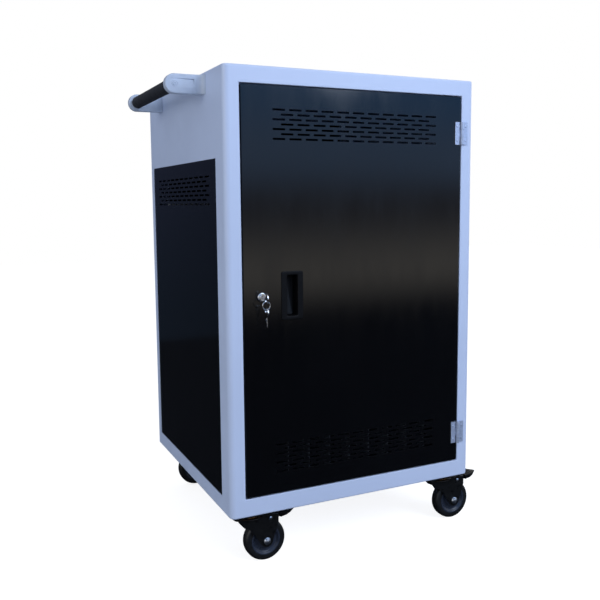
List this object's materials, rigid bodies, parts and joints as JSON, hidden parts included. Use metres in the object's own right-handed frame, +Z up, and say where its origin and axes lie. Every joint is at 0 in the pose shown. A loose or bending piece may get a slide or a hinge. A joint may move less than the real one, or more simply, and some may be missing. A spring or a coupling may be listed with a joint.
{
  "type": "laptop charging cart",
  "caption": "Upright steel cabinet on swivel casters for storing and charging laptops, with slotted locking doors front and rear, upright bays inside and a push handle on one side.",
  "frame": {"origin": "on the floor, under the middle of the whole cart's bounding box", "axes": "+Z up, the front door faces -Y, the push handle stands out towards -X"},
  "size_m": [0.8018, 0.671, 1.128],
  "materials": {
    "white_paint": "satin powder coat",
    "gloss_black_paint": "gloss",
    "grey_paint": "satin powder coat",
    "black_plastic": "fine grained",
    "grey_plastic": "fine grained",
    "white_plastic": "satin",
    "grip_foam": "matte foam",
    "bright_steel": "bright zinc plated",
    "chrome": "polished",
    "yellow_zinc": "yellow zinc plated",
    "black_steel": "satin black",
    "tyre": "smooth tread"
  },
  "bodies": {
    "cabinet": {"left_side_wall": "white_paint", "right_side_wall": "white_paint", "top_cover": "white_paint", "base_pan": "white_paint", "left_vent_panel": "gloss_black_paint", "right_vent_panel": "gloss_black_paint", "lower_divider_rack": "grey_paint", "middle_shelf": "grey_paint", "upper_divider_rack": "grey_paint", "top_shelf": "grey_paint", "lower_cable_wall": "grey_paint", "upper_cable_wall": "grey_paint", "lower_power_strip": "black_plastic", "upper_power_strip": "black_plastic", "power_module": "grey_plastic", "power_inlet": "black_plastic", "handle_front_arm": "white_plastic", "handle_rear_arm": "white_plastic", "handle_tube": "bright_steel", "handle_grip": "grip_foam", "front_upper_hinge_frame_leaf": "bright_steel", "front_lower_hinge_frame_leaf": "bright_steel", "rear_upper_hinge_frame_leaf": "bright_steel", "rear_lower_hinge_frame_leaf": "bright_steel", "front_left_caster_plate": "yellow_zinc", "front_right_caster_plate": "yellow_zinc", "rear_left_caster_plate": "yellow_zinc", "rear_right_caster_plate": "yellow_zinc"},
    "front_door": {"front_door": "gloss_black_paint", "front_pull_cup": "black_plastic", "front_lock_barrel": "chrome", "front_upper_hinge_door_leaf": "bright_steel", "front_lower_hinge_door_leaf": "bright_steel"},
    "front_lock": {"front_lock_plug": "chrome", "front_lock_cam": "bright_steel", "front_lock_key": "chrome"},
    "key_ring": {"key_ring": "chrome", "spare_key": "chrome"},
    "rear_door": {"rear_door": "gloss_black_paint", "rear_lock_barrel": "chrome", "rear_upper_hinge_door_leaf": "bright_steel", "rear_lower_hinge_door_leaf": "bright_steel"},
    "rear_lock": {"rear_lock_plug": "chrome", "rear_lock_cam": "bright_steel"},
    "power_switch": {"power_switch_rocker": "black_plastic"},
    "front_left_fork": {"front_left_caster_fork": "black_steel", "front_left_caster_axle": "bright_steel"},
    "front_left_wheel": {"front_left_caster_wheel": "tyre"},
    "front_left_pedal": {"front_left_brake_pedal": "black_plastic"},
    "front_right_fork": {"front_right_caster_fork": "black_steel", "front_right_caster_axle": "bright_steel"},
    "front_right_wheel": {"front_right_caster_wheel": "tyre"},
    "front_right_pedal": {"front_right_brake_pedal": "black_plastic"},
    "rear_left_fork": {"rear_left_caster_fork": "black_steel", "rear_left_caster_axle": "bright_steel"},
    "rear_left_wheel": {"rear_left_caster_wheel": "tyre"},
    "rear_right_fork": {"rear_right_caster_fork": "black_steel", "rear_right_caster_axle": "bright_steel"},
    "rear_right_wheel": {"rear_right_caster_wheel": "tyre"}
  },
  "joints": [
    {"name": "front_door_hinge", "type": "hinge", "parent": "cabinet", "child": "front_door", "pos_m": [0.3056, -0.30263, 0.63], "axis": [0, 0, 1], "range_deg": [0, 170]},
    {"name": "front_lock_turn", "type": "hinge", "parent": "front_door", "child": "front_lock", "pos_m": [-0.2309, -0.29783, 0.627], "axis": [0, -1, 0], "range_deg": [0, 90]},
    {"name": "key_ring_swing", "type": "hinge", "parent": "front_lock", "child": "key_ring", "pos_m": [-0.2309, -0.32447, 0.6175], "axis": [0, -1, 0], "range_deg": [-90, 0]},
    {"name": "rear_door_hinge", "type": "hinge", "parent": "cabinet", "child": "rear_door", "pos_m": [-0.2744, 0.33097, 0.63], "axis": [0, 0, 1], "range_deg": [0, 170]},
    {"name": "rear_lock_turn", "type": "hinge", "parent": "rear_door", "child": "rear_lock", "pos_m": [0.2621, 0.32617, 0.627], "axis": [0, 1, 0], "range_deg": [0, 90]},
    {"name": "power_switch_rock", "type": "hinge", "parent": "cabinet", "child": "power_switch", "pos_m": [0.2106, 0.32847, 0.149], "axis": [-1, 0, 0], "range_deg": [0, 16]},
    {"name": "front_left_swivel", "type": "hinge", "parent": "cabinet", "child": "front_left_fork", "pos_m": [-0.2519, -0.25183, 0.1134], "axis": [0, 0, 1], "continuous": true},
    {"name": "front_left_roll", "type": "hinge", "parent": "front_left_fork", "child": "front_left_wheel", "pos_m": [-0.2149, -0.25183, 0.05], "axis": [0, 1, 0], "continuous": true},
    {"name": "front_left_brake", "type": "hinge", "parent": "front_left_fork", "child": "front_left_pedal", "pos_m": [-0.2049, -0.25183, 0.1045], "axis": [0, 1, 0], "range_deg": [0, 18]},
    {"name": "front_right_swivel", "type": "hinge", "parent": "cabinet", "child": "front_right_fork", "pos_m": [0.2831, -0.25183, 0.1134], "axis": [0, 0, 1], "continuous": true},
    {"name": "front_right_roll", "type": "hinge", "parent": "front_right_fork", "child": "front_right_wheel", "pos_m": [0.3201, -0.25183, 0.05], "axis": [0, 1, 0], "continuous": true},
    {"name": "front_right_brake", "type": "hinge", "parent": "front_right_fork", "child": "front_right_pedal", "pos_m": [0.3301, -0.25183, 0.1045], "axis": [0, 1, 0], "range_deg": [0, 18]},
    {"name": "rear_left_swivel", "type": "hinge", "parent": "cabinet", "child": "rear_left_fork", "pos_m": [-0.2519, 0.28017, 0.1134], "axis": [0, 0, 1], "continuous": true},
    {"name": "rear_left_roll", "type": "hinge", "parent": "rear_left_fork", "child": "rear_left_wheel", "pos_m": [-0.2149, 0.28017, 0.05], "axis": [0, 1, 0], "continuous": true},
    {"name": "rear_right_swivel", "type": "hinge", "parent": "cabinet", "child": "rear_right_fork", "pos_m": [0.2831, 0.28017, 0.1134], "axis": [0, 0, 1], "continuous": true},
    {"name": "rear_right_roll", "type": "hinge", "parent": "rear_right_fork", "child": "rear_right_wheel", "pos_m": [0.3201, 0.28017, 0.05], "axis": [0, 1, 0], "continuous": true}
  ],
  "couplings": [
    {"joint": "key_ring_swing", "follows": "front_lock_turn", "ratio": -1}
  ]
}
